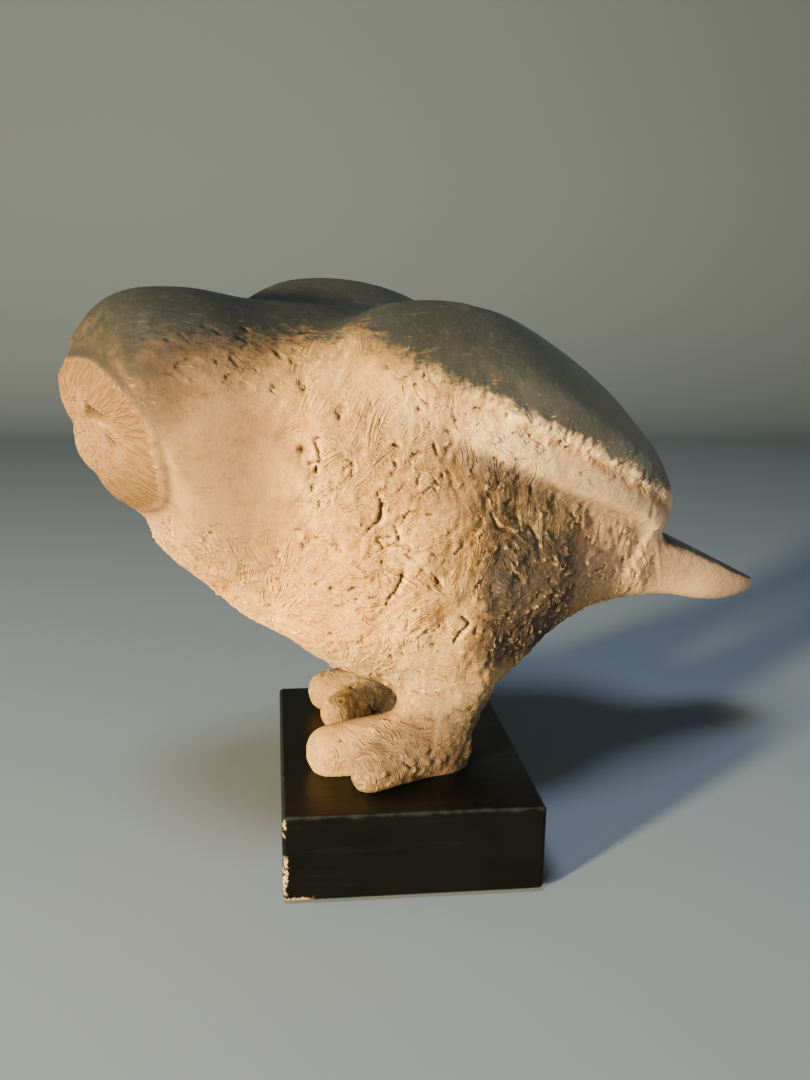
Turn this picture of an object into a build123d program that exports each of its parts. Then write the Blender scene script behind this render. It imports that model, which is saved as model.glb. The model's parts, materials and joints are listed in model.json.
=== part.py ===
from build123d import *
from math import cos, pi, radians, sin
import os

# Owl figurine on a block plinth.  Millimetres, +Z up.
# Origin: centre of the face the object rests on; the plinth's long side runs along X.
# The owl stands turned on its plinth, so it is drawn in its own frame: x to the owl's left,
# y from beak to tail, z up from the plinth's top face.

# ---- driving dimensions: plinth and fixings -------------------------------------------------
felt_thickness = 1.5
felt_inset = 3.8

plinth_length = 160.0
plinth_width = 120.0
plinth_height = 41.5
plinth_edge_round = 2.3

left_stud_at = (31.0, 4.0)
right_stud_at = (-37.0, 11.0)
stud_diameter = 8.0
stud_embedment = 30.0
stud_past_nut = 2.0
stud_chamfer = 0.8
anchor_diameter = 18.0
anchor_height = 36.0

recess_diameter = 24.0
recess_depth = 14.0
washer_diameter = 20.0
washer_thickness = 1.6
nut_across_flats = 13.0
nut_height = 6.8

# ---- driving dimensions: owl ----------------------------------------------------------------
owl_heading = 20.0
owl_offset_x = -4.0
wall_thickness = 7.0

# Torso stations from face to tail tip, in the owl's y-z plane.  Each row gives the lowest
# point, the highest point, the half width, the share of the height at which it is widest,
# and how square the section is (2 is an ellipse).
torso_stations = (
    ((-141.0, 139.0), (-161.0, 188.0), 41.0, 0.50, 2.2),
    ((-132.0, 129.0), (-151.0, 208.0), 51.0, 0.52, 2.2),
    ((-118.0, 111.0), (-133.0, 225.0), 55.0, 0.52, 2.2),
    ((-99.0, 91.0), (-107.0, 228.0), 56.0, 0.52, 2.2),
    ((-75.0, 73.0), (-77.0, 223.0), 56.0, 0.52, 2.2),
    ((-47.0, 53.0), (-45.0, 221.0), 58.0, 0.55, 2.2),
    ((-19.0, 37.0), (-13.0, 218.0), 60.0, 0.58, 2.2),
    ((13.0, 26.0), (20.0, 208.0), 58.0, 0.58, 2.2),
    ((45.0, 26.0), (55.0, 190.0), 53.0, 0.58, 2.2),
    ((74.0, 46.0), (90.0, 160.0), 45.0, 0.58, 2.2),
    ((100.0, 58.0), (118.0, 128.0), 36.0, 0.58, 2.3),
    ((130.0, 63.0), (142.0, 106.0), 30.0, 0.60, 2.6),
    ((160.0, 62.0), (168.0, 94.0), 26.0, 0.68, 3.0),
    ((192.0, 55.0), (198.0, 79.0), 23.0, 0.74, 3.2),
    ((216.0, 55.0), (219.0, 69.0), 19.0, 0.72, 3.0),
    ((227.0, 59.0), (228.0, 65.0), 13.0, 0.60, 2.4),
)
first_hollow_station = 2
last_hollow_station = 10
section_points = 16

# Wing stations of the left wing: y, then the ridge of its top and its outer edge as (x, z),
# and the x at which it sinks into the back.
wing_stations = (
    (-66.0, (36.0, 192.0), (41.0, 190.0), 26.0),
    (-60.0, (40.0, 203.0), (47.0, 198.0), 20.0),
    (-48.0, (43.0, 214.0), (54.0, 203.0), 16.0),
    (-28.0, (45.0, 222.0), (60.0, 196.0), 10.0),
    (0.0, (46.0, 223.0), (64.0, 186.0), 8.0),
    (30.0, (46.0, 217.0), (65.0, 173.0), 8.0),
    (60.0, (43.0, 203.0), (62.0, 161.0), 8.0),
    (90.0, (38.0, 180.0), (55.0, 147.0), 8.0),
    (115.0, (33.0, 154.0), (45.0, 133.0), 8.0),
    (131.0, (29.0, 133.0), (38.0, 121.0), 10.0),
    (137.0, (27.0, 121.0), (32.0, 116.0), 14.0),
)
wing_bulge = 3.0
wing_inner_drop = 4.0
wing_root_drop = 16.0
wing_root_depth = 30.0
wing_edge_thickness = 12.0
wing_edge_undercut = 8.0
right_wing_lift = 9.0
right_wing_ahead = 14.0

# Leg stations: height, distance inboard of the ankle, distance behind it, half width and
# half length.
leg_stations = (
    (-8.0, 0.0, 0.0, 19.0, 17.0),
    (12.0, 0.0, 1.0, 20.0, 18.0),
    (28.0, 1.0, 7.0, 20.0, 21.0),
    (45.0, 4.0, 12.0, 22.0, 29.0),
    (64.0, 10.0, 12.0, 25.0, 38.0),
    (90.0, 17.0, 12.0, 24.0, 42.0),
)
# Each foot: its ankle, then the centres of its two rounded toe tips.
feet = (
    ((31.0, 5.0), ((19.0, -42.0, 9.0), (46.0, -28.0, 9.0))),
    ((-37.0, 12.0), ((-27.0, -21.0, 9.0), (-51.0, -13.0, 9.0))),
)
toe_root_height = 11.0
toe_root_radius = 17.0
toe_tip_radius = 12.0

face_width = 84.0
face_sweep = 19.0
face_dish_radius = 85.0
face_dish_up = 5.0
eye_spacing = 32.0
eye_slant = 35.0
eyelid_length = 22.0
eyelid_height = 7.0
beak_top = 12.0
beak_length = 26.0
beak_width = 13.0
beak_rise = 6.0
# Beak stations: shares of its length, width and rise.
beak_stations = ((0.0, 0.3, 0.2), (0.55, 1.0, 1.0), (0.85, 0.7, 0.9), (1.0, 0.25, 0.5))

# ---- derived dimensions ---------------------------------------------------------------------
plinth_top = felt_thickness + plinth_height
stud_radius = stud_diameter / 2
recess_top = felt_thickness + recess_depth
washer_bottom = recess_top - washer_thickness
nut_bottom = washer_bottom - nut_height
stud_bottom = nut_bottom - stud_past_nut
stud_length = plinth_top + stud_embedment - stud_bottom
sole_cut_size = 2 * plinth_length


def direction_in(frame, x, y, z):
    """A direction given in a frame's own axes, in the shared frame."""
    return frame.from_local_coords((x, y, z)) - frame.origin


def plane_in(frame, point, x_direction, normal):
    """A plane placed in a frame's own axes."""
    return Plane(
        origin=frame.from_local_coords(point),
        x_dir=direction_in(frame, *x_direction),
        z_dir=direction_in(frame, *normal),
    )


owl_frame = Plane(
    origin=(owl_offset_x, 0, plinth_top),
    x_dir=(cos(radians(owl_heading)), sin(radians(owl_heading)), 0),
    z_dir=(0, 0, 1),
)

# The face plane leans forward through the first torso station: x across, y up, z out.
face_low, face_high = torso_stations[0][:2]
face_middle = ((face_low[0] + face_high[0]) / 2, (face_low[1] + face_high[1]) / 2)
face_rise = (face_high[0] - face_low[0], face_high[1] - face_low[1])
face_frame = plane_in(owl_frame, (0, *face_middle), (1, 0, 0), (0, -face_rise[1], face_rise[0]))

# Each half of the facial disc is a shallow dish: part of a sphere that touches the ridge
# between the eyes and the rim, face_sweep further back.
half_face = face_width / 2
dish_chord = (half_face**2 + face_sweep**2) ** 0.5
dish_reach = (face_dish_radius**2 - (dish_chord / 2) ** 2) ** 0.5
dish_x = half_face / 2 + dish_reach * face_sweep / dish_chord
dish_out = -face_sweep / 2 + dish_reach * half_face / dish_chord


# ---- sections -------------------------------------------------------------------------------
def stud_plane(height):
    """Level plane at a height in the shared frame, its x and y along the owl's own."""
    return owl_frame.offset(height - plinth_top)


def superellipse(half_width, low, high, widest, squareness):
    """Closed rounded curve from low to high, widest at the given share of its height."""
    middle = low + widest * (high - low)
    points = []
    for step in range(section_points):
        angle = 2 * pi * step / section_points
        across = abs(cos(angle)) ** (2 / squareness)
        along = abs(sin(angle)) ** (2 / squareness)
        x = half_width * (across if cos(angle) > 0 else -across)
        y = middle + along * ((high - middle) if sin(angle) > 0 else (low - middle))
        points.append((x, y))
    Spline(*points, periodic=True)


def torso_section(station, inset):
    """One cross-section of the torso, shrunk all round by the inset."""
    low, high, half_width, widest, squareness = station
    rise = (high[0] - low[0], high[1] - low[1])
    height = (rise[0] ** 2 + rise[1] ** 2) ** 0.5
    plane = plane_in(owl_frame, (0, *low), (1, 0, 0), (0, -rise[1], rise[0]))
    with BuildSketch(plane) as section:
        with BuildLine():
            superellipse(half_width - inset, inset, height - inset, widest, squareness)
        make_face()
    return section.sketch


def wing_section(station, side, ahead, lift):
    """One upright cross-section of a wing, from its outer edge over the top to the back."""
    y, (top_x, top_z), (edge_x, edge_z), root_x = station
    top_z += lift
    edge_z += lift
    root_z = top_z - wing_root_drop
    with BuildSketch(plane_in(owl_frame, (0, y - ahead, 0), (1, 0, 0), (0, -1, 0))) as section:
        with BuildLine():
            Spline(
                (side * edge_x, edge_z),
                (side * ((3 * edge_x + top_x) / 4 + wing_bulge), (edge_z + top_z) / 2),
                (side * top_x, top_z),
                (side * (top_x + root_x) / 2, top_z - wing_inner_drop),
                (side * root_x, root_z),
            )
            Polyline(
                (side * root_x, root_z),
                (side * root_x, edge_z - wing_root_depth),
                (side * (edge_x - wing_edge_undercut), edge_z - wing_edge_thickness),
                (side * edge_x, edge_z),
            )
        make_face()
    return section.sketch


def ring(frame, point, x_direction, normal, half_x, half_y):
    """An elliptical section placed in a frame's own axes."""
    with BuildSketch(plane_in(frame, point, x_direction, normal)) as section:
        Ellipse(half_x, half_y)
    return section.sketch


def leg_sections(ankle):
    """Leg column from below the sole up into the belly."""
    x, y = ankle
    outward = 1 if x > 0 else -1
    return [
        ring(
            owl_frame,
            (x - outward * inboard, y + back, height),
            (1, 0, 0),
            (0, 0, 1),
            half_x,
            half_y,
        )
        for height, inboard, back, half_x, half_y in leg_stations
    ]


def toe_sections(root, tip):
    """Thick toe tapering from the leg to its tip."""
    run = tuple(end - start for start, end in zip(root, tip))
    return [
        ring(owl_frame, root, (0, 0, 1), run, toe_root_radius, toe_root_radius),
        ring(owl_frame, tip, (0, 0, 1), run, toe_tip_radius, toe_tip_radius),
    ]


def beak_sections():
    """Beak hanging down the ridge between the two dishes."""
    return [
        ring(
            face_frame,
            (0, beak_top - along * beak_length, 0),
            (1, 0, 0),
            (0, 1, 0),
            width * beak_width / 2,
            rise * beak_rise,
        )
        for along, width, rise in beak_stations
    ]


def eyelid_plane(side):
    """Plane through a closed eyelid, its x along the slanting lid and its z out of the dish."""
    x = eye_spacing / 2
    across = dish_x - x
    outward = (face_dish_radius**2 - across**2) ** 0.5
    slope_across = across / face_dish_radius
    slope_out = outward / face_dish_radius
    return plane_in(
        face_frame,
        (side * x, 0, dish_out - outward),
        (
            side * slope_out * cos(radians(eye_slant)),
            -sin(radians(eye_slant)),
            -slope_across * cos(radians(eye_slant)),
        ),
        (side * slope_across, 0, slope_out),
    )


# ---- owl ------------------------------------------------------------------------------------
with BuildPart() as owl_body:
    loft(sections=[torso_section(station, 0) for station in torso_stations])
    for side, ahead, lift in ((1, 0.0, 0.0), (-1, right_wing_ahead, right_wing_lift)):
        loft(sections=[wing_section(station, side, ahead, lift) for station in wing_stations])
    for ankle, toe_tips in feet:
        loft(sections=leg_sections(ankle))
        for tip in toe_tips:
            loft(sections=toe_sections((*ankle, toe_root_height), tip))
            with Locations(owl_frame.from_local_coords(tip)):
                Sphere(toe_tip_radius)
    for side in (1, -1):
        with Locations(face_frame.from_local_coords((side * dish_x, face_dish_up, dish_out))):
            Sphere(face_dish_radius, mode=Mode.SUBTRACT)
    loft(sections=beak_sections())
    for side in (1, -1):
        lid_plane = eyelid_plane(side)
        with BuildSketch(lid_plane):
            with BuildLine():
                ThreePointArc(
                    (-eyelid_length / 2, 0), (0, eyelid_height / 2), (eyelid_length / 2, 0)
                )
                Line((eyelid_length / 2, 0), (-eyelid_length / 2, 0))
            make_face()
        revolve(axis=Axis(lid_plane.origin, lid_plane.x_dir))
    # the hollow inside
    hollow_stations = torso_stations[first_hollow_station : last_hollow_station + 1]
    loft(
        sections=[torso_section(station, wall_thickness) for station in hollow_stations],
        mode=Mode.SUBTRACT,
    )
    # the flat soles
    with BuildSketch(owl_frame):
        Rectangle(sole_cut_size, sole_cut_size)
    extrude(amount=-2 * toe_tip_radius, mode=Mode.SUBTRACT)
    # the sockets in the legs
    with BuildSketch(owl_frame):
        with Locations(left_stud_at, right_stud_at):
            Circle(anchor_diameter / 2)
    extrude(amount=anchor_height, mode=Mode.SUBTRACT)


# ---- plinth and felt ------------------------------------------------------------------------
with BuildPart() as plinth:
    with BuildSketch(Plane.XY.offset(felt_thickness)):
        Rectangle(plinth_length, plinth_width)
    extrude(amount=plinth_height)
    fillet(plinth.edges(), plinth_edge_round)
    with BuildSketch(stud_plane(felt_thickness)):
        with Locations(left_stud_at, right_stud_at):
            Circle(stud_radius)
    extrude(amount=plinth_height, mode=Mode.SUBTRACT)
    with BuildSketch(stud_plane(felt_thickness)):
        with Locations(left_stud_at, right_stud_at):
            Circle(recess_diameter / 2)
    extrude(amount=recess_depth, mode=Mode.SUBTRACT)

with BuildPart() as felt_sheet:
    with BuildSketch(Plane.XY):
        RectangleRounded(
            plinth_length - 2 * felt_inset, plinth_width - 2 * felt_inset, plinth_edge_round
        )
    extrude(amount=felt_thickness)


# ---- fixings --------------------------------------------------------------------------------
def make_anchor(stud_at):
    """Plug of filler in a leg's socket, with a blind hole for the stud."""
    with BuildPart() as anchor:
        with BuildSketch(stud_plane(plinth_top)):
            with Locations(stud_at):
                Circle(anchor_diameter / 2)
        extrude(amount=anchor_height)
        with BuildSketch(stud_plane(plinth_top)):
            with Locations(stud_at):
                Circle(stud_radius)
        extrude(amount=stud_embedment, mode=Mode.SUBTRACT)
    return anchor.part


def make_stud(stud_at):
    """Rod from the anchor down through the plinth, its ends chamfered."""
    with BuildPart() as stud:
        with BuildSketch(stud_plane(stud_bottom)):
            with Locations(stud_at):
                Circle(stud_radius)
        extrude(amount=stud_length)
        chamfer(stud.edges().filter_by(GeomType.CIRCLE), stud_chamfer)
    return stud.part


def make_washer(stud_at):
    """Plain washer at the top of the recess."""
    with BuildPart() as washer:
        with BuildSketch(stud_plane(washer_bottom)):
            with Locations(stud_at):
                Circle(washer_diameter / 2)
                Circle(stud_radius, mode=Mode.SUBTRACT)
        extrude(amount=washer_thickness)
    return washer.part


def make_nut(stud_at):
    """Hexagon nut under the washer."""
    with BuildPart() as nut:
        with BuildSketch(stud_plane(nut_bottom)):
            with Locations(stud_at):
                RegularPolygon(nut_across_flats / 2, 6, major_radius=False)
                Circle(stud_radius, mode=Mode.SUBTRACT)
        extrude(amount=nut_height)
    return nut.part


# ---- named pieces ---------------------------------------------------------------------------
pieces = {"owl_body": owl_body.part, "plinth": plinth.part, "felt_sheet": felt_sheet.part}
for side_name, stud_at in (("left", left_stud_at), ("right", right_stud_at)):
    pieces[f"{side_name}_anchor"] = make_anchor(stud_at)
    pieces[f"{side_name}_stud"] = make_stud(stud_at)
    pieces[f"{side_name}_washer"] = make_washer(stud_at)
    pieces[f"{side_name}_nut"] = make_nut(stud_at)

os.makedirs("parts", exist_ok=True)
for name, solid in pieces.items():
    solid.label = name
    export_step(solid, f"parts/{name}.step")
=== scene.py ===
import json
import math
from functools import reduce
from types import SimpleNamespace

import bpy
import numpy as np
from mathutils import Matrix, Vector
from mathutils.kdtree import KDTree


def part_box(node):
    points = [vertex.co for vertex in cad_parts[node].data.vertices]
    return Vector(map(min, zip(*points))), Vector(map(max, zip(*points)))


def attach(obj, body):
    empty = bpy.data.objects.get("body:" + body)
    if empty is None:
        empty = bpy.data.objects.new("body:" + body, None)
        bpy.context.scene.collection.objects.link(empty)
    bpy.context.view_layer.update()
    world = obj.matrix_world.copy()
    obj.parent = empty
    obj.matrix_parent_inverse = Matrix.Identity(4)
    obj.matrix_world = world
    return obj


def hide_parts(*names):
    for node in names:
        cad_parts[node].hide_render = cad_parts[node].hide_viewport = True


# Owl figurine on a black painted block: the visual model.
# Shapes are worked out in millimetres in the owl's own frame (x to its left, y from beak to
# tail, z up from the plinth's top) and placed in the shared frame in metres at the end.

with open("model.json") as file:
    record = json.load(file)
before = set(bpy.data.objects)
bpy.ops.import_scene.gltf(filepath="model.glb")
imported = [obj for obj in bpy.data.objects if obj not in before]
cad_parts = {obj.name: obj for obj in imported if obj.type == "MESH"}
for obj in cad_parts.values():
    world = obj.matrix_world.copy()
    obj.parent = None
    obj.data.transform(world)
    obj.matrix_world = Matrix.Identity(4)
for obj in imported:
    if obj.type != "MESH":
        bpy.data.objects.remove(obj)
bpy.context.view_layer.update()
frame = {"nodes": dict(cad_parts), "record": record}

MM = 0.001
PLINTH_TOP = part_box("plinth")[1].z

# ---- owl: driving shape ----
OWL_HEADING = math.radians(20)
OWL_OFFSET_X = -4.0

# Torso stations from face to tail tip: lowest y, z, highest y, z, half width, share of the
# height at which it is widest, squareness (2 is an ellipse).
TORSO_STATIONS = (
    (-150, 143, -166, 180, 24, 0.50, 2),
    (-142, 138, -161, 190, 40, 0.50, 2.2),
    (-133, 131.5, -153, 206, 49, 0.52, 2.2),
    (-119, 114, -136, 224, 54, 0.52, 2.2),
    (-99, 93, -109, 228, 56, 0.52, 2.2),
    (-75, 73, -77, 223, 57, 0.52, 2.2),
    (-47, 53, -45, 221, 59, 0.55, 2.2),
    (-19, 37, -13, 218, 60, 0.58, 2.2),
    (13, 26, 20, 206, 59, 0.61, 2.3),
    (45, 26, 55, 186, 55, 0.64, 2.4),
    (74, 49, 90, 156, 48, 0.66, 2.5),
    (100, 61, 118, 126, 38, 0.66, 2.6),
    (130, 63, 142, 107, 30, 0.66, 2.9),
    (160, 62, 168, 94, 26, 0.70, 3.4),
    (192, 55, 198, 79, 23, 0.78, 3.8),
    (216, 54, 219, 69, 19.5, 0.78, 3.4),
    (226, 57, 228, 66, 15, 0.65, 2.8),
)

# Left wing stations: y, ridge x and z, outer edge x and z, x where it sinks into the back.
WING_STATIONS = (
    (-70, 34, 186, 38, 184, 26),
    (-60, 39, 204, 47, 198, 18),
    (-48, 43, 214, 54, 203, 14),
    (-28, 45, 222, 61, 197, 10),
    (0, 46, 223, 65, 186, 8),
    (30, 46, 217, 66, 173, 8),
    (60, 43, 203, 63, 161, 8),
    (90, 40, 184, 56, 147, 8),
    (115, 37, 163, 48, 135.5, 8),
    (133, 33, 146, 41.5, 126.5, 10),
    (146, 28, 126, 33, 117, 13),
)
RIGHT_WING_LIFT = 9.0
RIGHT_WING_AHEAD = 14.0

# Leg stations: height, distance inboard of the ankle, distance behind it, half width and
# half length.
LEG_STATIONS = (
    (-8, 0, 0, 19, 17),
    (12, 0, 1, 20, 18),
    (28, 1, 7, 20, 21),
    (45, 4, 12, 22, 29),
    (64, 10, 12, 25, 38),
    (90, 17, 12, 24, 42),
)
# Each foot: ankle x, y, then its inner and outer toe as root y behind the ankle, root radius,
# tip x, y, z and tip radius.
FEET = (
    ((31, 4), ((0, 17, 21, -45.5, 9, 13.3), (9, 19, 47, -37.5, 7.5, 10.2))),
    ((-37, 12), ((0, 15, -25, -22, 8, 10), (4, 17, -52, -16, 10, 12))),
)

# The face plane leans forward: x across, up along it, out in front of it.
FACE_LOW = np.array((-141, 139))
FACE_HIGH = np.array((-161, 188))
DISC_HALF_WIDTH = 48.5
DISC_TOP = 34.0
DISC_BOTTOM = -36.0
DISC_MIDDLE = 3.0
DISC_SQUARENESS = 2.1
DISC_SWEEP = 19.0
DISC_HOLLOW = 2.2
BEAK_HEIGHT = 3.2
DISC_RADIUS = 40.0
# Middle line of the face: height up the face plane and how far out it stands.
FACE_LINE_UP = (-36, -28, -20, -10, 0, 10, 16, 22, 28.5, 34)
FACE_LINE_OUT = (-5.5, -0.8, 1.3, 2, 1, 1.2, 1.8, 0.8, -1.7, -8)
EYE_MIDDLE = (20, 2.6)
EYE_SLANT = math.radians(52)
EYE_HALF_LENGTH = 6.4
EYE_HALF_HEIGHT = 3.0
EYE_CORNER = (13, 13.4)
LID_SLANT = math.radians(33)

# Cuts in the flanks: depth, width, then the path as y, z on the left flank.
GOUGES = (
    (2.6, 1, (-68, 166), (-65.5, 158), (-67.5, 151)),
    (1.5, 2.8, (-77, 163), (-74, 161.5), (-70, 159.5)),
    (1.4, 0.8, (-56, 160), (-50.5, 155), (-52.5, 149)),
    (2.4, 1.1, (-40.5, 144.5), (-37, 138), (-38.5, 130.5), (-45.5, 126.5)),
    (1.8, 0.8, (-33, 165), (-30, 160)),
    (1.8, 0.8, (-12.5, 164.5), (-12, 157)),
    (1.5, 0.8, (-9.5, 150), (-8.5, 146)),
    (1.6, 1, (-32.5, 127), (-27.5, 118.5)),
    (2, 1.1, (-23.5, 109), (-25, 101), (-32, 89.5)),
    (2, 1, (-9.5, 103.5), (-3.5, 94.5)),
    (2.6, 1.2, (8.5, 82), (11.5, 74), (5, 66)),
    (1.8, 1, (16, 133), (22, 123), (34, 117)),
    (1.6, 1, (42, 119), (52, 108)),
    (1.5, 0.9, (30, 101), (41, 94)),
)

TOE_ROOT_HEIGHT = 11.0
COARSE_VOXEL = 2.2
FINE_VOXEL = 1.1
CREASE_STEPS = 90
# How far the right flank's cuts lie off the left one's, and how deep both flanks' rears lie.
RIGHT_GOUGE_SHIFT = (-9.0, 6.0)
FLANK_DROP = 3.5
# Strokes with more than this half width leave their own fine grain. Its third coordinate tells
# strokes apart: each has its own number above PRESSED, and the combed disc has COMBED.
BROAD_MARK = 2.4
PRESSED = 1000
COMBED = 1100
MARK_SEED = 5
MARK_TURN = 0.22
# Distance from a wing edge given to points that belong to no wing.
OFF_WING = 60.0


# ---- number helpers ----
def fade(start, end, value):
    """0 before start, 1 after end, smooth between; works with start above end too."""
    share = np.clip((value - start) / (end - start), 0.0, 1.0)
    return share * share * (3.0 - 2.0 * share)


def bell(value, width):
    """1 where the value is 0, falling off smoothly over about the width on either side."""
    return np.exp(-((value / width) ** 2))


def columns(*values):
    """Numbers and arrays side by side, one row per point."""
    return np.stack(np.broadcast_arrays(*values), 1)


def through(stations, count):
    """Rows on a smooth curve through every station, evenly spread in station number."""
    rows = np.array(stations, float)
    last = len(rows) - 1
    place = np.linspace(0, last, count)
    start = np.minimum(place.astype(int), last - 1)
    share = (place - start)[:, None]
    before = rows[np.maximum(start - 1, 0)]
    here = rows[start]
    after = rows[start + 1]
    beyond = rows[np.minimum(start + 2, last)]
    return 0.5 * (
        2 * here
        + (after - before) * share
        + (2 * before - 5 * here + 4 * after - beyond) * share**2
        + (3 * here - before - 3 * after + beyond) * share**3
    )


def scramble(cells, seed):
    """A repeatable random number in 0..1 for every whole-number cell."""
    x, y, z = cells.T
    mixed = (x * 374761393 + y * 668265263 + z * 2147483647 + seed * 974634777) & 0xFFFFFFFF
    mixed = ((mixed ^ (mixed >> 13)) * 1274126177) & 0xFFFFFFFF
    mixed = ((mixed ^ (mixed >> 16)) * 2246822519) & 0xFFFFFFFF
    return (mixed ^ (mixed >> 15)) / 0xFFFFFFFF


def noise(points, size, seed):
    """Smooth random values in -1..1 that change over about the given size."""
    scaled = points / size
    corner = np.floor(scaled).astype(np.int64)
    part = scaled - corner
    part = part * part * part * (part * (part * 6 - 15) + 10)
    total = np.zeros(len(scaled))
    for step in np.ndindex(2, 2, 2):
        weight = np.where(step, part, 1 - part)
        total += weight[:, 0] * weight[:, 1] * weight[:, 2] * scramble(corner + step, seed)
    return 2 * total - 1


def patch_numbers(points, size, seed):
    """Three random numbers for each point, the same all over one irregular patch."""
    scaled = points / size
    corner = np.floor(scaled).astype(np.int64)
    nearest = np.full(len(points), np.inf)
    home = np.zeros_like(corner)
    for step in np.ndindex(3, 3, 3):
        cell = corner + step - 1
        spot = cell + columns(*(scramble(cell, seed + axis) for axis in range(3)))
        gap = np.linalg.norm(spot - scaled, axis=1)
        closer = gap < nearest
        home[closer] = cell[closer]
        nearest[closer] = gap[closer]
    return columns(*(scramble(home, seed + 10 + axis) for axis in range(3)))


# ---- closed skins ----
def closed_skin(rings):
    """Vertices and faces of a closed skin over rings of equal length, with fanned ends."""
    around = len(rings[0])
    points = np.vstack([*rings, rings[0].mean(0), rings[-1].mean(0)])
    steps = [(step, (step + 1) % around) for step in range(around)]
    rows = [row * around for row in range(len(rings))]
    faces = [
        (here + step, here + following, above + following, above + step)
        for here, above in zip(rows, rows[1:])
        for step, following in steps
    ]
    for step, following in steps:
        faces.append((len(points) - 2, following, step))
        faces.append((len(points) - 1, rows[-1] + step, rows[-1] + following))
    return points, faces


def full_turn(count):
    return np.linspace(0, 2 * np.pi, count, endpoint=False)


def signed_power(value, power):
    return np.sign(value) * np.abs(value) ** power


def torso_rings(along=150, around=120):
    turn = full_turn(around)
    rings = []
    for low_y, low_z, high_y, high_z, half_width, widest, square in through(TORSO_STATIONS, along):
        across = half_width * signed_power(np.cos(turn), 2 / square)
        rise = signed_power(np.sin(turn), 2 / square)
        height = widest + np.where(rise > 0, 1 - widest, widest) * rise
        rings.append(
            columns(across, low_y + (high_y - low_y) * height, low_z + (high_z - low_z) * height)
        )
    return rings


def wing_rings(side, ahead, lift, along=110, around=28):
    rings = []
    for y, top_x, top_z, edge_x, edge_z, root_x in through(WING_STATIONS, along):
        thin = min(1, (edge_x - root_x) / 40)
        over = (
            (edge_x, edge_z),
            ((3 * edge_x + top_x) / 4 + 3.5 * thin, (edge_z + top_z) / 2 - 1),
            (top_x, top_z),
            ((top_x + root_x) / 2, top_z - 5 * thin),
            (root_x, top_z - 18 * thin),
        )
        under = (
            (root_x, edge_z - 40 * thin),
            (edge_x - 19 * thin, edge_z - 38 * thin),
            (edge_x - 10 * thin, edge_z - 25 * thin),
            (edge_x - 4.5 * thin, edge_z - 13 * thin),
            (edge_x - 2, edge_z - 3 * thin),
        )
        x, z = np.vstack([through(over, around), through(under, around)]).T
        rings.append(columns(side * x, y - ahead, z + lift))
    return rings


def leg_rings(ankle, along=60, around=48):
    x, y = ankle
    outward = 1 if x > 0 else -1
    turn = full_turn(around)
    rings = []
    for height, inboard, back, half_x, half_y in through(LEG_STATIONS, along):
        middle = x - outward * inboard, y + back
        rings.append(
            columns(middle[0] + half_x * np.cos(turn), middle[1] + half_y * np.sin(turn), height)
        )
    return rings


def toe_rings(ankle, toe, along=40, around=40):
    """A thick tapering toe with a rounded tip."""
    behind, root_radius, *tip, tip_radius = toe
    root = np.array((ankle[0], ankle[1] + behind, TOE_ROOT_HEIGHT))
    run = np.array(tip) - root
    length = np.linalg.norm(run)
    forward = run / length
    sideways = np.cross(forward, (0, 0, 1))
    sideways /= np.linalg.norm(sideways)
    upward = np.cross(sideways, forward)
    turn = full_turn(around)[:, None]
    rings = []
    for place in np.linspace(0, length + tip_radius * 0.995, along):
        radius = root_radius + (tip_radius - root_radius) * min(1, place / length)
        if place > length:
            radius = math.sqrt(max(tip_radius**2 - (place - length) ** 2, 0.01))
        middle = root + forward * place
        rings.append(middle + radius * np.cos(turn) * sideways + radius * np.sin(turn) * upward)
    return rings


# ---- mesh helpers ----
def mesh_from(name, skins):
    points, faces, shift = [], [], 0
    for skin_points, skin_faces in skins:
        points.append(skin_points)
        faces += [tuple(index + shift for index in face) for face in skin_faces]
        shift += len(skin_points)
    mesh = bpy.data.meshes.new(name)
    mesh.from_pydata((np.vstack(points) * MM).tolist(), [], faces)
    mesh.update()
    return mesh


def add_object(name, data):
    piece = bpy.data.objects.new(name, data)
    bpy.context.scene.collection.objects.link(piece)
    return piece


def read_vectors(items, name):
    flat = np.empty(len(items) * 3)
    items.foreach_get(name, flat)
    return flat.reshape(-1, 3)


def read_points(mesh):
    return read_vectors(mesh.vertices, "co") / MM


def write_points(mesh, points):
    mesh.vertices.foreach_set("co", (points * MM).ravel())
    mesh.update()


def read_normals(mesh):
    return read_vectors(mesh.vertex_normals, "vector")


def remesh(piece, voxel):
    """One even skin over everything in the piece, at the given voxel size."""
    change = piece.modifiers.new("skin", "REMESH")
    change.mode = "VOXEL"
    change.voxel_size = voxel * MM
    change.use_smooth_shade = True
    graph = bpy.context.evaluated_depsgraph_get()
    piece.data = bpy.data.meshes.new_from_object(piece.evaluated_get(graph))
    piece.modifiers.clear()


def neighbour_mean(points, links, count):
    """Mean position of each vertex's neighbours."""
    first, second = links.T
    total = [
        np.bincount(first, column[second], len(points))
        + np.bincount(second, column[first], len(points))
        for column in points.T
    ]
    return np.stack(total, 1) / count[:, None]


def read_links(mesh):
    """Pairs of joined vertices, and how many neighbours each vertex has."""
    links = np.empty(len(mesh.edges) * 2, np.int32)
    mesh.edges.foreach_get("vertices", links)
    links = links.reshape(-1, 2)
    return links, np.bincount(links.ravel(), minlength=len(mesh.vertices)).astype(float)


def relax(mesh, steps):
    """Smooths the whole skin a little."""
    links, count = read_links(mesh)
    points = read_points(mesh)
    for _ in range(steps):
        points += 0.5 * (neighbour_mean(points, links, count) - points)
    write_points(mesh, points)


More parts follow.
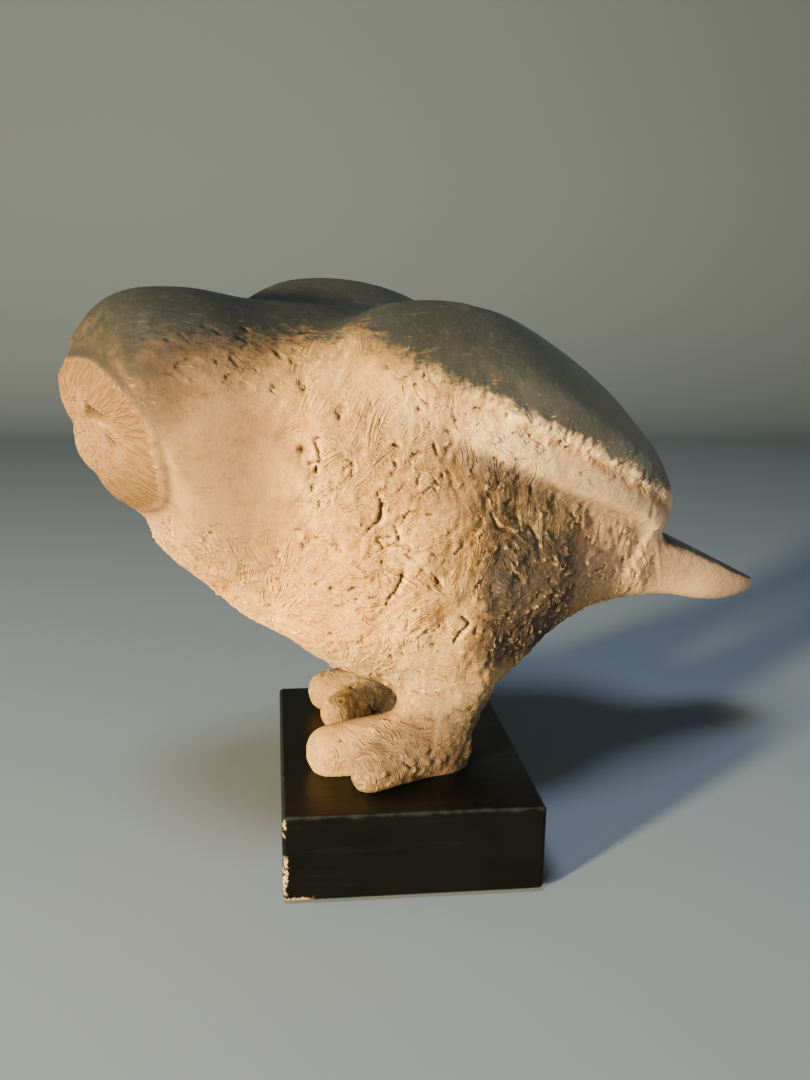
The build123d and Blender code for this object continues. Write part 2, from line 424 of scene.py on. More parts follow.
def fill_creases(mesh):
    """Rounds the creases where forms meet: deeply at the legs, barely under the wing edges."""
    links, count = read_links(mesh)
    points = read_points(mesh)
    y, z = points[:, 1], points[:, 2]
    strength = 0.10 + 0.75 * fade(105, 75, z) * fade(14, 34, z + 0.35 * y)
    strength += 0.75 * fade(-30, -62, y) * fade(190, 200, z)
    strength *= 1 - 0.8 * fade(10, 60, y) * fade(85, 110, z)
    for step in range(CREASE_STEPS):
        if step % 10 == 0:
            write_points(mesh, points)
            normals = read_normals(mesh)
        pull = neighbour_mean(points, links, count) - points
        hollow = np.maximum(np.einsum("ij,ij->i", pull, normals), 0.0)
        points += (strength * hollow)[:, None] * normals
    write_points(mesh, points)


# ---- face ----
FACE_MIDDLE = (FACE_LOW + FACE_HIGH) / 2
FACE_UP = (FACE_HIGH - FACE_LOW) / np.linalg.norm(FACE_HIGH - FACE_LOW)


def to_face(points):
    """Owl frame to face frame: across, up, out."""
    y = points[:, 1] - FACE_MIDDLE[0]
    z = points[:, 2] - FACE_MIDDLE[1]
    return columns(points[:, 0], y * FACE_UP[0] + z * FACE_UP[1], -y * FACE_UP[1] + z * FACE_UP[0])


def from_face(points):
    """Face frame back to owl frame."""
    x, up, out = points.T
    y = FACE_MIDDLE[0] + up * FACE_UP[0] - out * FACE_UP[1]
    return columns(x, y, FACE_MIDDLE[1] + up * FACE_UP[1] + out * FACE_UP[0])


def disc_share(across, up):
    """How far out towards the facial disc's rim a point is: 0 at its middle, 1 on the rim."""
    reach_up = np.where(up > DISC_MIDDLE, DISC_TOP - DISC_MIDDLE, DISC_MIDDLE - DISC_BOTTOM)
    wide = np.abs(across) / DISC_HALF_WIDTH
    tall = np.abs(up - DISC_MIDDLE) / reach_up
    return (wide**DISC_SQUARENESS + tall**DISC_SQUARENESS) ** (1 / DISC_SQUARENESS)


def face_surface(across, up):
    """How far out the carved face stands; it falls away evenly beyond the disc's rim."""
    share = np.maximum(disc_share(across, up), 1.0)
    inner_across = across / share
    inner_up = DISC_MIDDLE + (up - DISC_MIDDLE) / share
    beyond = np.hypot(across - inner_across, up - inner_up)
    line = np.interp(inner_up, FACE_LINE_UP, FACE_LINE_OUT)
    side = (np.sqrt(inner_across**2 + 9.0) - 3.0) / DISC_HALF_WIDTH
    dish = DISC_HOLLOW * np.sin(np.pi * np.clip(side, 0, 1))
    beak = BEAK_HEIGHT * bell(inner_across, 5.5)
    beak *= fade(10, -1, inner_up) * fade(-17, -5, inner_up)
    fall = 0.42 + 0.3 * np.clip(np.abs(inner_across) / DISC_HALF_WIDTH, 0, 1)
    return line - DISC_SWEEP * side - dish + beak - fall * beyond


def carve_face(points):
    """Presses everything in front of the face surface back onto it, less and less beyond the
    disc's rim."""
    across, up, out = to_face(points).T
    hold = fade(1.55, 1.08, disc_share(across, up)) * fade(-62, -38, out)
    proud = np.maximum(out - face_surface(across, up), 0.0)
    return from_face(columns(across, up, out - hold * proud))


# ---- owl ----
def owl_form():
    """The owl's main forms under one skin, joined smoothly and with the face carved."""
    rings = [torso_rings(), wing_rings(1, 0, 0), wing_rings(-1, RIGHT_WING_AHEAD, RIGHT_WING_LIFT)]
    for ankle, toes in FEET:
        rings += [leg_rings(ankle), *(toe_rings(ankle, toe) for toe in toes)]
    piece = add_object("owl", mesh_from("owl", map(closed_skin, rings)))
    remesh(piece, COARSE_VOXEL)
    relax(piece.data, 3)
    fill_creases(piece.data)
    relax(piece.data, 3)
    write_points(piece.data, carve_face(read_points(piece.data)))
    remesh(piece, FINE_VOXEL)
    relax(piece.data, 2)
    return piece


def crest_line(side):
    """Points along one wing's outer edge."""
    y, _, _, edge_x, edge_z, _ = through(WING_STATIONS, 240).T
    right = side < 0
    return columns(side * edge_x, y - right * RIGHT_WING_AHEAD, edge_z + right * RIGHT_WING_LIFT)


def crest_measures(points):
    """For every point: height above the nearest wing edge measured over the surface, the
    distance from that edge, and the place along it (0 at the shoulder, 1 at the tip)."""
    above = np.full(len(points), -OFF_WING)
    gap = np.full(len(points), OFF_WING)
    along = np.zeros(len(points))
    for side in (1, -1):
        line = crest_line(side)
        close = np.where((points[:, 0] * side > 0) & (points[:, 2] > 80) & (points[:, 1] < 150))[0]
        for part in np.array_split(close, 40):
            offset = points[part][:, None] - line
            away = np.einsum("ijk,ijk->ij", offset, offset)
            nearest = away.argmin(1)
            gap[part] = np.sqrt(away[np.arange(len(part)), nearest])
            step = points[part] - line[nearest]
            upward = step[:, 2] - 0.45 * side * step[:, 0]
            above[part] = np.where(upward > 0, gap[part], -gap[part])
            along[part] = nearest / (len(line) - 1)
    return above, gap, along


def owl_regions(points, normals):
    """What each point of the skin belongs to: measures in millimetres and shares in 0..1."""
    x, y, z = points.T
    across, up, out = to_face(points).T
    above, gap, along = crest_measures(points)
    region = SimpleNamespace(across=across, up=up, above=above, along=along, by_wing=gap < 59)
    mark_face(region, y, out)
    region.top = patina_height(region, points, normals)
    mark_limbs(region, y, z)
    mark_wing(region, x, y, z)
    region.crest = bell(gap, 4) * fade(0.26, 0.40, along)
    region.rough = 1 - plain_share(region, x, y, z)
    region.stain = stain_share(region, x, y, z, normals[:, 2])
    # Painted shade: darker in the recess between the feet and on the far toes.
    between_feet = 0.8 * fade(70, 50, z) * fade(30, 18, np.abs(x + 4)) * fade(-36, -18, y)
    far_toes = 0.22 * fade(44, 30, z) * fade(-6, -16, x)
    region.deep = np.maximum(between_feet * (y < 40), far_toes)
    region.shade = rear_shade(region, y, z)
    return region


def mark_face(region, y, out):
    """The facial disc, its rim and what lies beside it."""
    off = np.abs(out - face_surface(region.across, region.up))
    region.share = disc_share(region.across, region.up)
    region.beside_face = fade(16, 8, off) * (y < -110)
    on_face = region.beside_face * fade(9, 5, off)
    region.disc = on_face * fade(1.03, 0.97, region.share)
    region.rim = on_face * bell((region.share - 1) * DISC_RADIUS, 2.4)
    region.face = region.disc * (0.48 + 0.52 * fade(0.4, 0.9, region.share))


def patina_height(region, points, normals):
    """How far inside the dark patina of the upper side each point lies; below 0 is bare clay."""
    x, y, z = points.T
    along = region.along
    wing = region.above - 1.5 - 9 * fade(0.36, 0.16, along) - 10 * fade(0.88, 1, along)
    back = np.where((normals[:, 2] > 0.2) & (z > 120), 12.0, -60.0)
    neck = z - 207 - 6 * fade(-132, -150, y)
    ahead = fade(-46, -62, y)
    top = np.where(region.by_wing, wing, back) * (1 - ahead) + neck * ahead
    behind = fade(138, 148, y)
    top = top * (1 - behind) + 20 * (normals[:, 2] - 0.42) * behind
    outward = fade(0.2, 0.6, normals[:, 0] * np.sign(x))
    between_wings = 30 * (normals[:, 2] - 0.15 - outward) - 60 * fade(34, 46, np.abs(x))
    return np.maximum(top, between_wings - 60 * fade(104, 92, y))


def mark_limbs(region, y, z):
    """Legs, toes, tail and the tinted head and neck, with painted shade towards the bottom and
    painted light on the rear of the wings.
    """
    region.legs = fade(66, 40, z) * fade(-24, -8, y) * (y < 60)
    region.toes = fade(36, 26, z) * fade(-4, -16, y)
    region.tail = fade(122, 150, y)
    # Painted shade: darker and cooler towards the bottom.
    region.low = fade(80, 48, z)
    # Painted light: the wing patina is paler towards the rear, where more light falls on it.
    region.aged = fade(0, 110, y) * fade(90, 110, z)
    high_flank = fade(118, 160, z) * fade(60, 20, y) * fade(-75, -55, y)
    throat = fade(-60, -104, y) * fade(66, 120, z + 0.35 * (y + 100))
    region.neck = np.maximum(throat, 0.56 * high_flank)
    # Brow darkening: partly a smoky tone, partly painted shade above the disc.
    region.brow = fade(-100, -134, y) * fade(164, 202, z) * (1 - region.disc)
    nape = fade(-48, -70, y) * fade(177, 188, z)
    region.nape = nape * (1 - region.disc) * (region.top < 6)


def mark_wing(region, x, y, z):
    """The pale band under each wing edge, which is partly painted light, the line between them,
    how soft the patina's lower edge is, and painted shade on the far wing's front."""
    # Partly painted light: the pale band and the rear haunch are paler where they face the lamps.
    beside = region.by_wing * (region.top < 4) * fade(0.12, 0.34, region.along)
    band = beside * fade(-34, -14, region.above) * fade(0.2, 0.6, region.along)
    haunch = 0.6 * fade(58, 104, y) * fade(60, 90, z) * (region.top < 4)
    region.band = np.maximum(band, haunch)
    region.under = beside * fade(-9, -6, region.above) * fade(-2.5, -4.5, region.above)
    region.beneath = 7 * fade(50, 125, y) - region.above
    shoulder = fade(0.58, 0.18, region.along) * region.by_wing
    # Painted shade: the far wing's front takes the darker head patina.
    far_wing_shade = 0.6 * fade(0, -25, x) * fade(60, 10, y)
    region.blur = np.maximum.reduce([fade(-46, -62, y), shoulder, far_wing_shade])


def plain_share(region, x, y, z):
    """Where the clay was left smooth."""
    neck = fade(-62, -88, y) * fade(108, 135, z + 0.35 * (y + 100))
    nicked = 0.25 * fade(172, 188, z) * fade(-122, -100, y)
    toe = region.toes * np.maximum(fade(16, 8, np.abs(x - 20)), 0.7 * (x < 0))
    above, along = region.above, region.along
    shoulder = region.by_wing * fade(0.45, 0.25, along) * fade(-42, -14, above)
    fold = region.by_wing * fade(-30, -22, above) * fade(-4, -8, above)
    fold *= fade(0.52, 0.62, along)
    patina = fade(-2, 3, region.top)
    return np.maximum.reduce([region.disc, neck * (0.93 - nicked), region.tail * 0.85, toe * 0.8,
                              shoulder * 0.6, patina, fold * 0.85])


def stain_share(region, x, y, z, upward):
    """Darker tints: a dark wash on the heels, darker on the outer toes, the jaw and the tail's
    upper faces and end, and painted shade in the groove outside the disc's rim and in each eye's
    notch and pupil pit.
    """
    heel = fade(46, 26, z) * fade(-16, 6, y) * (y < 60)
    outer_toe = 0.8 * fade(38, 26, z) * fade(30, 41, x)
    # Painted shade in the groove just outside the disc's rim.
    edge = 0.8 * region.beside_face * bell((region.share - 1.07) * DISC_RADIUS, 2)
    across, up = region.across, region.up
    # Painted shade in each eye's notch and in its pupil pit.
    eye = np.maximum(eye_notch(across, up), eye_dot(across, up)) * region.disc
    jaw = 0.22 * region.disc * fade(-4, -24, up)
    tail = np.maximum(0.5 * region.tail * fade(0.1, 0.4, upward), 0.7 * fade(165, 205, y))
    return np.maximum.reduce([heel, outer_toe, edge, eye, jaw, tail])


def rear_shade(region, y, z):
    """Painted shade, partly a brown stain: where the rear of each flank is darkened, below the
    pale band under the wing, with milder painted shade further forward on the flank.
    """
    front = 0.2 * (150 - z)
    shade = fade(front - 18, front + 16, y) * (1 - 0.62 * fade(60, 128, y))
    # Deeper painted shade low on the rear of the flank.
    deeper = fade(122, 98, z) * fade(-5, 30, y) * fade(84, 56, y)
    shade *= fade(38, 60, z) * (1 + 0.4 * deeper) * fade(142, 122, y)
    shade *= fade(18, 26, region.beneath)
    # Milder painted shade on the front of the flank, and across its middle partly a tan tint,
    # partly painted shade.
    light = 0.2 * fade(-50, -5, y) * fade(50, 10, y) * fade(-3, -12, region.above)
    tan_and_shade = 0.6 * fade(-34, -4, y) * fade(162, 134, z) * fade(60, 82, z)
    return np.maximum.reduce([shade, light, tan_and_shade])


def slanted(across, up, middle, slant):
    """Coordinates along and over a line that slants down from the given middle, on both sides."""
    across = np.abs(across) - middle[0]
    up = up - middle[1]
    along = across * math.cos(slant) - up * math.sin(slant)
    return along, across * math.sin(slant) + up * math.cos(slant)


def eye_notch(across, up):
    """A three-cornered notch at the inner corner of each eye, narrowing outwards."""
    along, over = slanted(across, up, EYE_CORNER, LID_SLANT)
    reach = 3.4 * np.clip(1 - along / 13.5, 0, 1) + 0.5
    return fade(-1.5, 1, along) * fade(13.5, 4, along) * np.exp(-((over / reach) ** 4))


def eye_dot(across, up):
    """The pupil, a small pit under each lid."""
    along, over = slanted(across, up, EYE_MIDDLE, EYE_SLANT)
    return bell(along - 1.8, 1.8) * bell(over + 4.6, 1.6)


def crest_profile(region):
    """A wing edge that stands a little proud; at the rear a second, lower ridge bounds the
    smooth band under it before the flank drops away."""
    below, beneath, along = -region.above, region.beneath, region.along
    started = fade(0.2, 0.42, along)
    rear = fade(0.42, 0.62, along)
    edge = np.where(below > 0, fade(3, 0.5, below), fade(12, 0, -below))
    groove = 0.7 * (1 - rear) * bell(below - 5, 1.7) * (below > 0)
    flare = 2.3 * fade(4, 20, beneath) * fade(27, 21.5, beneath)
    recess = 2.6 * fade(20, 30, beneath) * fade(59, 42, beneath)
    beside = region.by_wing * fade(1, 0.97, along)
    return beside * (started * ((1 - 0.6 * rear) * edge - groove) + rear * (flare - recess))


def flank_profile(points):
    """The rear of each flank lies deeper than the front."""
    y, z = points[:, 1], points[:, 2]
    length = fade(-16, 40, y) * fade(118, 60, y)
    return -FLANK_DROP * length * (fade(76, 112, z) * fade(176, 146, z))


def eye_profile(region):
    """A small closed slanting lid in a shallow socket, below the notch at its inner corner."""
    across, up = region.across, region.up
    along, over = slanted(across, up, EYE_MIDDLE, EYE_SLANT)
    reach = np.hypot(along / EYE_HALF_LENGTH, over / EYE_HALF_HEIGHT)
    lid = 0.8 * np.sqrt(np.clip(1 - reach**2, 0, 1))
    crease = 0.7 * bell(reach - 1.16, 0.2)
    socket = 0.8 * bell(along, 12) * bell(over, 9)
    cuts = 2.6 * eye_notch(across, up) + 2.4 * eye_dot(across, up)
    return region.disc * (lid - crease - cuts - socket)


def rim_profile(points, region):
    """The facial disc's thin, chipped rim, raised at the sides, with a groove outside it."""
    share, up = region.share, region.up
    turn = np.arctan2(up - DISC_MIDDLE, region.across)
    spokes = noise(columns(turn * DISC_RADIUS / 1.9, share * 3, 0), 1, 42)
    ragged = 0.7 + 0.5 * noise(points, 3, 43) + 0.5 * spokes
    combed = region.disc * fade(0.55, 0.9, share) * 0.28 * spokes
    groove = bell((share - 1.08) * DISC_RADIUS, 2) * (share > 1) * region.beside_face
    sides = fade(-36, -20, up) * fade(34, 22, up)
    brow = fade(24, 32, up)
    return combed + sides * (0.3 * region.rim * ragged - 0.7 * groove) - 0.9 * brow * groove


def gouge_profile(points):
    """Deep cuts in both flanks, ragged along their length and shallow towards their ends."""
    depths = np.zeros(len(points))
    for side, shift in ((1, (0, 0)), (-1, RIGHT_GOUGE_SHIFT)):
        near = np.where((points[:, 0] * side > 28) & (points[:, 2] > 50))[0]
        places = points[near]
        wander = [2.2 * noise(places, 9, 51 + k) + 0.9 * noise(places, 3, 53 + k) for k in (0, 1)]
        spots = places[:, 1:] + columns(*wander)
        ragged = 0.75 + 0.5 * noise(places, 3.5, 55)
        for depth, width, *path in GOUGES:
            line = through(np.array(path) + shift, 24)
            close = np.hypot(*(spots - line.mean(0)).T) < 26
            gap = np.hypot(*(spots[close][:, None] - line).transpose(2, 0, 1))
            ends = 1 - np.abs(2 * gap.argmin(1) / 23 - 1) ** 2.5
            reach = width * (0.5 + 0.7 * ends) * ragged[close]
            cut = depth * ends * bell(gap.min(1), reach)
            depths[near[close]] = np.maximum(depths[near[close]], cut)
    return -depths


def heading(points, normals, region, wanted, picks):
    """Direction of the tool at each picked point, in the plane of the surface."""
    facing = normals[picks]
    if wanted == "patches":
        aim = patch_numbers(points[picks], 34, 61) - 0.5
        rear = fade(0.35, 0.5, region.along[picks])
        beneath = region.beneath[picks]
        down = (rear * fade(20, 24, beneath) * fade(48, 36, beneath))[:, None]
        aim = aim * (1 - down) + down * (0, 0.35, -1)
        level = (rear * fade(24, 20, beneath) * fade(-6, 2, beneath))[:, None]
        aim = aim * (1 - level) + level * (0, 1, -0.6)
    elif wanted == "fan":
        across = region.across[picks]
        up = region.up[picks] - 2
        aim = columns(across - 13 * np.sign(across), up * FACE_UP[0], up * FACE_UP[1])
    elif wanted == "rings":
        aim = np.cross(facing, (0.25, -1, 0))
    elif wanted == "level":
        aim = np.cross(facing, (0, 0, 1))
    else:
        aim = np.tile((0.1, 1, -0.25), (len(picks), 1))
    aim = aim - np.einsum("ij,ij->i", aim, facing)[:, None] * facing
    return aim / (np.linalg.norm(aim, axis=1)[:, None] + 1e-9)


def point_finder(points):
    finder = KDTree(len(points))
    for index, place in enumerate(points):
        finder.insert(place, index)
    finder.balance()
    return finder


def press_one(height, near, hold, reach, run, half_length, lines, press, tilt, comb, burr):
    """Presses one stroke: flattens and combs what lies under it and leaves a burr at its end."""
    middle = (hold @ height[near]) / hold.sum()
    pressed = 0.6 * middle - press + tilt * run / half_length + comb * lines
    height[near] += hold * (pressed - height[near])
    height[near] += burr * (bell(reach - 1.08, 0.13) * (0.4 + 0.6 * (run > 0)))


def press_marks(points, normals, region, height, grain, scored):
    """Presses tool marks into the clay one after another, so that later ones cut earlier
    ones; keeps each mark's own lengthwise and crosswise coordinates for the fine grain."""
    finder = point_finder(points)
    chance = np.random.default_rng(MARK_SEED)
    wave = np.convolve(chance.normal(size=400), (0.25, 0.5, 0.25), "same")
    for wanted, where, tries, length, width, press, tilt, pitch, comb, burr in MARKS:
        picks = chance.integers(0, len(points), tries)
        picks = picks[chance.random(tries) < where(region)[picks]]
        aims = heading(points, normals, region, wanted, picks)
        turn = chance.normal(0, MARK_TURN, len(picks))[:, None]
        aims = np.cos(turn) * aims + np.sin(turn) * np.cross(normals[picks], aims)
        for pick, aim, side in zip(picks, aims, np.cross(normals[picks], aims)):
            half_length = chance.uniform(*length)
            half_width = chance.uniform(*width)
            broad = half_width > BROAD_MARK
            bend = chance.normal(0, 0.35 if broad else 0.7) / half_length
            found = finder.find_range(points[pick], 1.25 * math.hypot(half_length, half_width))
            near = np.array([hit[1] for hit in found])
            near = near[normals[near] @ normals[pick] > 0.35]
            offset = points[near] - points[pick]
            run = offset @ aim
            over = offset @ side + bend * run**2
            reach = (np.abs(run / half_length) ** 3 + np.abs(over / half_width) ** 3) ** (1 / 3)
            hold = fade(1, 0.3 if broad else 0.8, reach)
            if hold.sum() < 3:
                continue
            lines = np.interp(over / pitch + 200 + 90 * bend, np.arange(400), wave)
            press_one(height, near, hold, reach, run, half_length, lines, press, tilt, comb, burr)
            if broad:
                core = hold > 0.5
                grain[near[core]] = columns(over, run, PRESSED + 40 * chance.random())[core]
                strength = chance.choice((0.2, 0.5, 0.85, 1))
                scored[near[core]] = 1 if wanted in ("fan", "rings") else strength


def worked(region):
    """Where the clay was left rough."""
    return fade(0.25, 0.6, region.rough)


# Shares of each kind of surface that the clay's finish reads from the mesh.
FINISH_SHARES = ("top", "rough", "disc", "band", "under", "blur", "legs", "stain", "tail",
                 "shade", "neck", "deep", "brow", "aged", "face", "low")

# Tool marks: direction, where they go, how many are tried, half length and half width ranges,
# depth, tilt along the stroke, pitch and depth of the comb lines, burr at the end.
MARKS = (
    ("patches", worked, 900, (14, 24), (7, 12), 0.1, 0.3, 2.7, 0.2, 0),
    ("patches", worked, 1700, (8, 15), (3.5, 7), 0, 0.25, 2.3, 0.34, 0.05),
    ("along", lambda r: 0.8 * np.maximum(r.tail, r.top > 4), 700, (10, 22), (5, 9),
     0, 0.1, 2.6, 0.06, 0),
    ("fan", lambda r: r.disc, 5000, (6, 11), (3.5, 6), 0, 0.05, 2.2, 0.22, 0),
    ("rings", lambda r: r.toes, 2600, (5, 10), (3, 6), 0, 0.1, 2.3, 0.2, 0.04),
    ("level", lambda r: 0.8 * r.legs, 2400, (5, 10), (3, 5), 0.05, 0.15, 2.2, 0.26, 0.06),
    ("patches", lambda r: r.shade, 2300, (7, 13), (2, 3.2), 0.1, 0.3, 2.2, 0.2, 0.07),
    ("patches", worked, 1000, (2.5, 6), (0.9, 1.6), 0.6, 0.4, 2, 0.1, 0.3),
    ("along", lambda r: 0.6 * r.nape, 3600, (2.5, 5.5), (0.8, 1.4), 0.4, 0.4, 2, 0.1, 0.16),
    ("along", lambda r: 0.4 * r.nape, 2600, (4, 9), (2.5, 4), 0.1, 0.3, 2, 0.2, 0.1),
    ("patches", lambda r: (0.006 + 0.4 * worked(r)) * (1 - 0.9 * r.stain), 1100,
     (0.9, 1.4), (0.9, 1.2), 0.9, 0, 9, 0, 0.1),
    ("patches", lambda r: 0.5 * worked(r), 900, (1.2, 2.4), (1, 1.7), -0.5, 0, 9, 0, 0),
)


def ragged_crest(points, region):
    """The torn, hatched band along each wing edge."""
    hatch = noise(columns(points[:, 1] / 1.7, region.above / 7, 0), 1, 31)
    chips = noise(points, 4.2, 32) + 0.8 * noise(points, 2.3, 33)
    rear = fade(0.45, 0.75, region.along)
    return region.crest * ((0.4 - 0.25 * rear) * hatch + (0.5 - 0.35 * rear) * chips)


def set_attribute(mesh, name, values, kind="FLOAT", field="value"):
    layer = mesh.attributes.new(name, kind, "POINT")
    layer.data.foreach_set(field, values.astype(np.float32).ravel())


def relief_height(points, region):
    """Swells, lumps and carved details added to the tool marks."""
    rough = region.rough
    height = (0.2 + 0.8 * rough) * (1.1 * noise(points, 32, 11) + 0.9 * noise(points, 16, 12))
    height += rough * (0.5 * noise(points, 9, 17) + 0.4 * noise(points, 3.2, 18))
    height += region.legs * 0.35 * noise(points, 2.6, 19)
    height += crest_profile(region) + flank_profile(points) + eye_profile(region)
    carved = rim_profile(points, region) + gouge_profile(points) + ragged_crest(points, region)
    return height + carved


def texture_owl(mesh):
    """Adds the surface relief and stores where each finish belongs."""
    points = read_points(mesh)
    normals = read_normals(mesh)
    region = owl_regions(points, normals)
    height = np.zeros(len(points))
    grain = points.copy()
    scored = np.full(len(points), 0.3)
    press_marks(points, normals, region, height, grain, scored)
    combed = (region.disc > 0.5) & (region.share > 0.55)
    turn = np.arctan2(region.up - DISC_MIDDLE, region.across)
    grain[combed] = columns(turn * 34, region.share * DISC_RADIUS, COMBED)[combed]
    scored[combed] = 0.9
    height += relief_height(points, region)
    points += (height * fade(0, 4, points[:, 2]))[:, None] * normals
    points[:, 2] = np.maximum(points[:, 2], 0)
    write_points(mesh, points)
    store_finish(mesh, points, region, grain, scored)


def store_finish(mesh, points, region, grain, scored):
    """Writes what the clay's finish reads from the mesh: hollows, strokes and region shares."""
    links, count = read_links(mesh)
    blurred = points.copy()
    for _ in range(3):
        blurred += 0.7 * (neighbour_mean(blurred, links, count) - blurred)
    set_attribute(mesh, "hollow", np.einsum("ij,ij->i", blurred - points, read_normals(mesh)))
    stroke = grain[:, 2] * (grain[:, 2] >= PRESSED)
    differ = np.abs(stroke[links[:, 0]] - stroke[links[:, 1]]) > 1e-6
    seam = np.bincount(links[differ].ravel(), minlength=len(points)) > 0
    set_attribute(mesh, "scored", np.where(seam, 0, scored))
    set_attribute(mesh, "grain", grain, "FLOAT_VECTOR", "vector")
    for name in FINISH_SHARES:
        set_attribute(mesh, name, getattr(region, name))


# ---- materials ----
class Value:
    """A node's output, which can be added, subtracted and multiplied."""

    def __init__(self, finish, socket):
        self.finish = finish
        self.socket = socket

    def __add__(self, other):
        return self.finish.math("ADD", self, other)

    def __sub__(self, other):
        return self.finish.math("SUBTRACT", self, other)

    def __rsub__(self, other):
        return self.finish.math("SUBTRACT", other, self)

    def __mul__(self, other):
        return self.finish.math("MULTIPLY", self, other)

    __radd__ = __add__
    __rmul__ = __mul__


class Finish:
    """A node material and short ways to add to it; lengths are in millimetres."""

    def __init__(self, name):
        self.material = bpy.data.materials.new(name)
        self.material.use_nodes = True
        self.tree = self.material.node_tree
        self.place = self.stretched(self.add("TexCoord", "Object"), (1 / MM, 1 / MM, 1 / MM))

    def feed(self, socket, value):
        if isinstance(value, Value):
            self.tree.links.new(value.socket, socket)
        elif socket.type == "RGBA":
            socket.default_value = (*value, 1)
        else:
            socket.default_value = value

    def add(self, kind, output, inputs=(), **settings):
        """One output of a new node with the given inputs and settings."""
        node = self.tree.nodes.new("ShaderNode" + kind)
        for name, value in settings.items():
            setattr(node, name, value)
        for socket, value in dict(inputs).items():
            self.feed(node.inputs[socket], value)
        return Value(self, node.outputs[output])

    def stretched(self, place, scale):
        return self.add("VectorMath", 0, {0: place, 1: scale}, operation="MULTIPLY")

    def math(self, operation, *values):
        return self.add("Math", 0, enumerate(values), operation=operation)

    def most(self, *values):
        return reduce(lambda first, second: self.math("MAXIMUM", first, second), values)

    def attribute(self, name, output="Fac"):
        return self.add("Attribute", output, attribute_name=name)

    def noise(self, size, detail=2, roughness=0.5, stretch=None, place=None):
        """Values around 0.5 that change over about the given size; an axis with a stretch
        below 1 is drawn out."""
        place = self.place if place is None else place
        if stretch:
            place = self.stretched(place, stretch)
        inputs = {"Vector": place, "Scale": 1 / size, "Detail": detail, "Roughness": roughness}
        return self.add("TexNoise", "Fac", inputs)

    def step(self, value, start, end, low=0, high=1):
        """Smooth change from low to high as the value goes from start to end."""
        values = enumerate((value, start, end, low, high))
        return self.add("MapRange", 0, values, interpolation_type="SMOOTHSTEP")

    def mix(self, share, first, second, mode="MIX"):
        inputs = {0: share, 6: first, 7: second}
        return self.add("Mix", 2, inputs, data_type="RGBA", blend_type=mode)

    def tint(self, share, colour, factor):
        """Multiplies the colour by a factor in the given share."""
        return self.mix(share, colour, factor, "MULTIPLY")

    def bump(self, height, depth, under=None):
        """Shades a height of 0..1 as relief of the given depth."""
        inputs = {"Distance": depth * MM, "Height": height}
        if under is not None:
            inputs["Normal"] = under
        return self.add("Bump", 0, inputs)

    def finish(self, colour, roughness, normal=None, metallic=0, shine=0.5):
        inputs = {"Base Color": colour, "Roughness": roughness, "Metallic": metallic}
        inputs["Specular IOR Level"] = shine
        if normal is not None:
            inputs["Normal"] = normal
        for name, value in inputs.items():
            self.feed(self.tree.nodes["Principled BSDF"].inputs[name], value)
        return self.material


SAND = (0.83, 0.465, 0.138)
PALE_SAND = (0.93, 0.60, 0.185)
OCHRE = (0.58, 0.29, 0.085)
# CHALK: chalky clay, also a painted highlight on ridges.
CHALK = (0.93, 0.65, 0.262)
# BONE: pale clay, also painted light on the wing bands, the rear haunch and the tail.
BONE = (0.99, 0.72, 0.42)
FACE_OCHRE = (0.175, 0.100, 0.040)
NECK_OCHRE = (0.20, 0.134, 0.082)
RUST = (0.62, 0.27, 0.09)
ROSE = (0.64, 0.31, 0.15)
UMBER = (0.13, 0.068, 0.03)
SMOKE = (0.019, 0.0185, 0.0165)
# The head patina is darker than the wing patina: partly painted shade against the stronger light
# on the head.
PATINA_HEAD = (0.019, 0.0215, 0.0175)
PATINA_WING = (0.040, 0.044, 0.037)
# Paler patina: real wear, and painted light on the rear of the wings.
PATINA_WORN_AND_LIT = (0.095, 0.098, 0.082)
# What the clay's colour is multiplied by.
SMEAR_TINT = (0.5, 0.45, 0.4)
GROOVE_TINT = (0.58, 0.42, 0.27)
# Painted shade: darker and cooler towards the bottom.
LOW_TINT = (0.50, 0.57, 0.82)
STAIN_AND_SHADE_TINT = (0.28, 0.31, 0.42)
# SHADE_TINT and DEEPER_TINT: painted shade, partly a brown stain, on the rear of the flanks.
SHADE_TINT = (0.11, 0.14, 0.32)
DEEPER_TINT = (0.25, 0.45, 0.9)
# Painted shade between the feet and on the far toes.
FOOT_SHADE_TINT = (0.05, 0.06, 0.13)

PAINT_BLACK = (0.0014, 0.0018, 0.0019)
PAINT_CLOUDY = (0.0034, 0.0039, 0.0040)
PAINT_BRUSHED = (0.0055, 0.0060, 0.0060)
PAINT_DUST = (0.09, 0.085, 0.08)
# Rubbed paint on the edges, partly a painted highlight along the top edges.
PAINT_RUBBED_AND_LIT = (0.017, 0.021, 0.024)
WOOD_DARK = (0.20, 0.125, 0.07)
WOOD_PALE = (0.50, 0.37, 0.24)
FELT_DARK = (0.010, 0.013, 0.011)
FELT_PALE = (0.055, 0.062, 0.055)
FELT_BROWN = (0.035, 0.034, 0.028)
ZINC = (0.52, 0.53, 0.55)
ZINC_DULL = (0.36, 0.35, 0.33)
ZINC_BRIGHT = (0.66, 0.67, 0.69)
FILLER_DARK = (0.44, 0.42, 0.38)
FILLER_PALE = (0.62, 0.59, 0.53)
FILLER_GRIT = (0.27, 0.25, 0.22)
FILLER_BUBBLE = (0.24, 0.22, 0.19)


